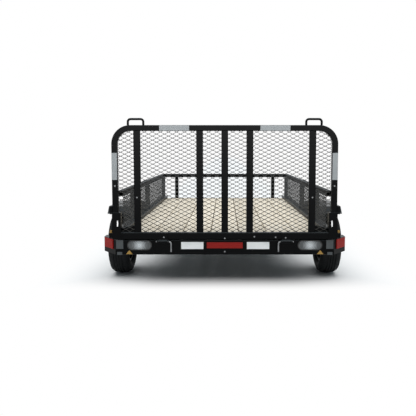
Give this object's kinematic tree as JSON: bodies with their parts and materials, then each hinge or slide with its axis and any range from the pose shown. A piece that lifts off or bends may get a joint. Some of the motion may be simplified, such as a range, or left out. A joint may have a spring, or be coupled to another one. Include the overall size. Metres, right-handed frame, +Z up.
{
  "type": "utility trailer",
  "caption": "Single-axle utility trailer with a plank deck, mesh side walls, a hinged mesh ramp gate, rear lamps, flat fenders and an A-frame tongue on a screw jack.",
  "frame": {"origin": "on the ground under the middle of the trailer's overall box", "axes": "+X to the right seen from behind, +Y forward to the coupler, +Z up"},
  "size_m": [1.93, 3.6034, 1.2705],
  "materials": {
    "frame_black": "satin black paint",
    "mesh_black": "satin black paint on expanded metal",
    "deck_wood": "sawn pale pine boards",
    "axle_black": "matt black paint",
    "zinc_plate": "bright zinc plating",
    "wheel_silver": "silver wheel paint",
    "tyre_rubber": "matt black rubber",
    "lens_clear": "clear ribbed lens over a silvered bowl",
    "lens_red": "red moulded lens",
    "lens_amber": "amber moulded lens",
    "grommet_rubber": "matt black rubber",
    "cap_grey": "grey satin plate"
  },
  "bodies": {
    "chassis": {"front_rail": "frame_black", "crossmembers": "frame_black", "wall_posts": "frame_black", "wall_rails": "frame_black", "front_wall_rail": "frame_black", "front_wall_posts": "frame_black", "rear_beam": "frame_black", "lamp_panels": "frame_black", "corner_boxes": "frame_black", "hinge_ears": "frame_black", "side_rail_left": "frame_black", "side_rail_right": "frame_black", "tongue_rail_left": "frame_black", "tongue_rail_right": "frame_black", "fenders": "frame_black", "fender_plates": "frame_black", "jack_plate": "frame_black", "wall_mesh": "mesh_black", "deck_planks": "deck_wood", "axle": "axle_black", "leaf_springs": "axle_black", "spring_hangers": "axle_black", "hinge_pins": "zinc_plate", "axle_clamps": "zinc_plate", "coupler": "zinc_plate", "coupler_lever": "zinc_plate", "jack_tube": "zinc_plate", "jack_head": "zinc_plate", "jack_crank": "zinc_plate", "oval_lamps": "lens_clear", "light_bar": "lens_red", "corner_lenses": "lens_red", "amber_markers": "lens_amber", "lamp_grommets": "grommet_rubber", "rail_end_caps": "cap_grey"},
    "gate": {"gate_frame": "frame_black", "gate_rail": "frame_black", "gate_uprights": "frame_black", "gate_mesh": "mesh_black", "gate_sleeves": "frame_black", "gate_latches": "frame_black", "gate_handles": "frame_black", "hinge_leaves": "frame_black"},
    "jack_leg": {"jack_leg": "zinc_plate", "jack_foot": "zinc_plate"},
    "wheel_left": {"tyre_left": "tyre_rubber", "rim_left": "wheel_silver", "lug_nuts_left": "zinc_plate", "hub_left": "zinc_plate"},
    "wheel_right": {"tyre_right": "tyre_rubber", "rim_right": "wheel_silver", "lug_nuts_right": "zinc_plate", "hub_right": "zinc_plate"}
  },
  "joints": [
    {"name": "wheel_left_spin", "type": "hinge", "parent": "chassis", "child": "wheel_left", "pos_m": [-0.88, -0.812, 0.265], "axis": [1, 0, 0], "continuous": true},
    {"name": "wheel_right_spin", "type": "hinge", "parent": "chassis", "child": "wheel_right", "pos_m": [0.88, -0.812, 0.265], "axis": [1, 0, 0], "continuous": true},
    {"name": "gate_swing", "type": "hinge", "parent": "chassis", "child": "gate", "pos_m": [0, -1.789, 0.448], "axis": [1, 0, 0], "range_deg": [0, 124]},
    {"name": "jack_slide", "type": "slide", "parent": "chassis", "child": "jack_leg", "axis": [0, 0, 1], "range_m": [0, 0.25]}
  ]
}
